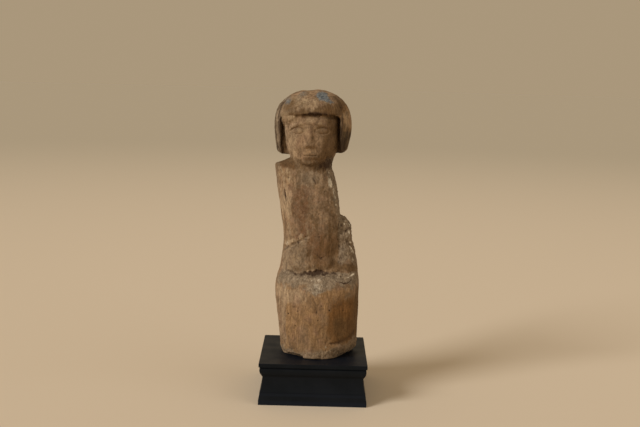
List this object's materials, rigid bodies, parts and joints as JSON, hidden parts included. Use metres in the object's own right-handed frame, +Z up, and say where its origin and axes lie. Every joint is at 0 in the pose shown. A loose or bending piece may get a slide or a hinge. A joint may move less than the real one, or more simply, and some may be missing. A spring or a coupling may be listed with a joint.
{
  "type": "wooden funerary figure on a display stand",
  "caption": "Weathered carved wooden funerary figure with a bobbed wig, arms lost, standing on a square black moulded display stand.",
  "frame": {"origin": "centre of the stand's underside, on the surface it stands on", "axes": "+Z up, the figure faces -Y, +X is to the viewer's right"},
  "size_m": [0.09, 0.09, 0.2589],
  "materials": {
    "old_wood": "dry, weathered bare wood with traces of blue and black paint",
    "black_paint": "satin black paint on wood"
  },
  "bodies": {
    "root": {"figure": "old_wood", "stand": "black_paint"}
  },
  "joints": []
}
